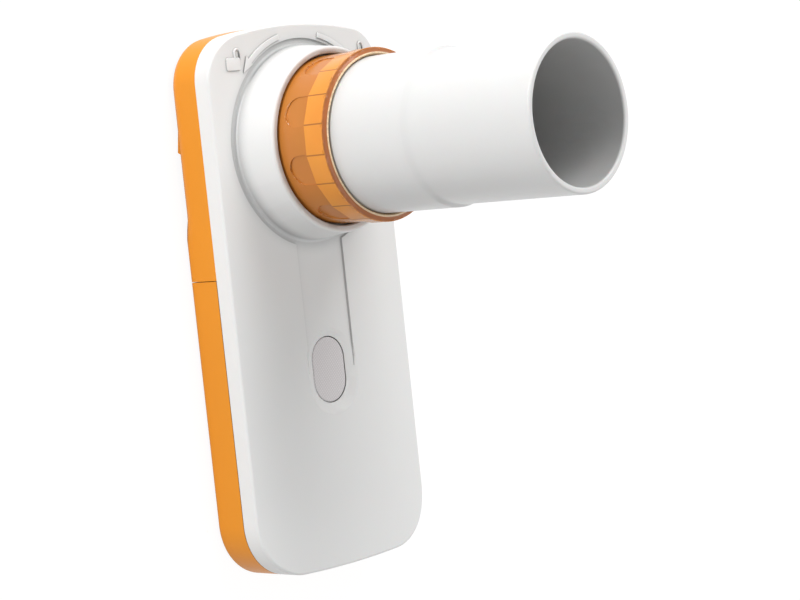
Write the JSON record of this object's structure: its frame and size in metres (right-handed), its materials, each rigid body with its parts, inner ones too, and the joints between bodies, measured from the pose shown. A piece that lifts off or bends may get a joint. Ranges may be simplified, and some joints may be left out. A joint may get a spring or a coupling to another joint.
{
  "type": "peak flow meter",
  "caption": "Pocket peak flow meter: flat casing with a collar, twist-lock turbine cartridge, push-in tube mouthpiece, push button and sliding battery cover.",
  "frame": {"origin": "middle of the footprint on the plane that the back rests on", "axes": "+Z out of the front along the mouthpiece, +Y towards the turbine end of the casing, +X to the right seen from the front"},
  "size_m": [0.049, 0.109, 0.0812],
  "materials": {
    "white_shell": "satin moulded ABS",
    "orange_shell": "satin moulded ABS",
    "amber_plastic": "transparent moulded polycarbonate",
    "mouthpiece_white": "gloss moulded polypropylene",
    "button_grey": "fine textured elastomer",
    "tray_plastic": "moulded ABS",
    "cell_jacket": "printed jacket, bare of marks",
    "contact_steel": "nickel plated spring steel",
    "board_green": "solder mask",
    "component_black": "moulded epoxy",
    "shield_tin": "tin plated steel",
    "sensor_plastic": "infrared filter epoxy",
    "swirler_plastic": "transparent moulded polycarbonate",
    "bearing_brass": "turned",
    "axle_steel": "polished",
    "vane_plastic": "thin stiff film",
    "screw_steel": "zinc plated"
  },
  "bodies": {
    "casing": {"front_cover": "white_shell", "rear_cover": "orange_shell", "battery_tray": "tray_plastic", "battery_left": "cell_jacket", "battery_right": "cell_jacket", "battery_contacts": "contact_steel", "battery_springs": "contact_steel", "circuit_board": "board_green", "tact_switch": "component_black", "radio_module": "shield_tin", "microcontroller": "component_black", "infrared_emitters": "sensor_plastic", "infrared_receivers": "sensor_plastic", "turbine_socket": "white_shell", "bayonet_ring": "white_shell", "case_screws": "screw_steel", "tray_screws": "screw_steel", "socket_screws": "screw_steel"},
    "battery_door": {"battery_cover": "orange_shell"},
    "button": {"power_button": "button_grey", "switch_plunger": "component_black"},
    "turbine": {"turbine_housing": "amber_plastic", "rear_swirler": "swirler_plastic", "front_swirler": "swirler_plastic", "rear_bearing": "bearing_brass", "front_bearing": "bearing_brass"},
    "rotor": {"rotor_vane": "vane_plastic", "rotor_axle": "axle_steel"},
    "mouth_tube": {"mouthpiece": "mouthpiece_white"}
  },
  "joints": [
    {"name": "door_slide", "type": "slide", "parent": "casing", "child": "battery_door", "axis": [0, -1, 0], "range_m": [0, 0.06]},
    {"name": "button_press", "type": "slide", "parent": "casing", "child": "button", "axis": [0, 0, -1], "range_m": [0, 0.0003], "stiffness_N_per_m": 3000, "springref_m": -0.00005},
    {"name": "turbine_twist", "type": "hinge", "parent": "casing", "child": "turbine", "pos_m": [0, 0.0307, 0.0165], "axis": [0, 0, 1], "range_deg": [0, 90]},
    {"name": "rotor_spin", "type": "hinge", "parent": "turbine", "child": "rotor", "pos_m": [0, 0.0307, 0.0094], "axis": [0, 0, 1], "continuous": true},
    {"name": "mouth_pull", "type": "slide", "parent": "turbine", "child": "mouth_tube", "axis": [0, 0, 1], "range_m": [0, 0.02]}
  ]
}
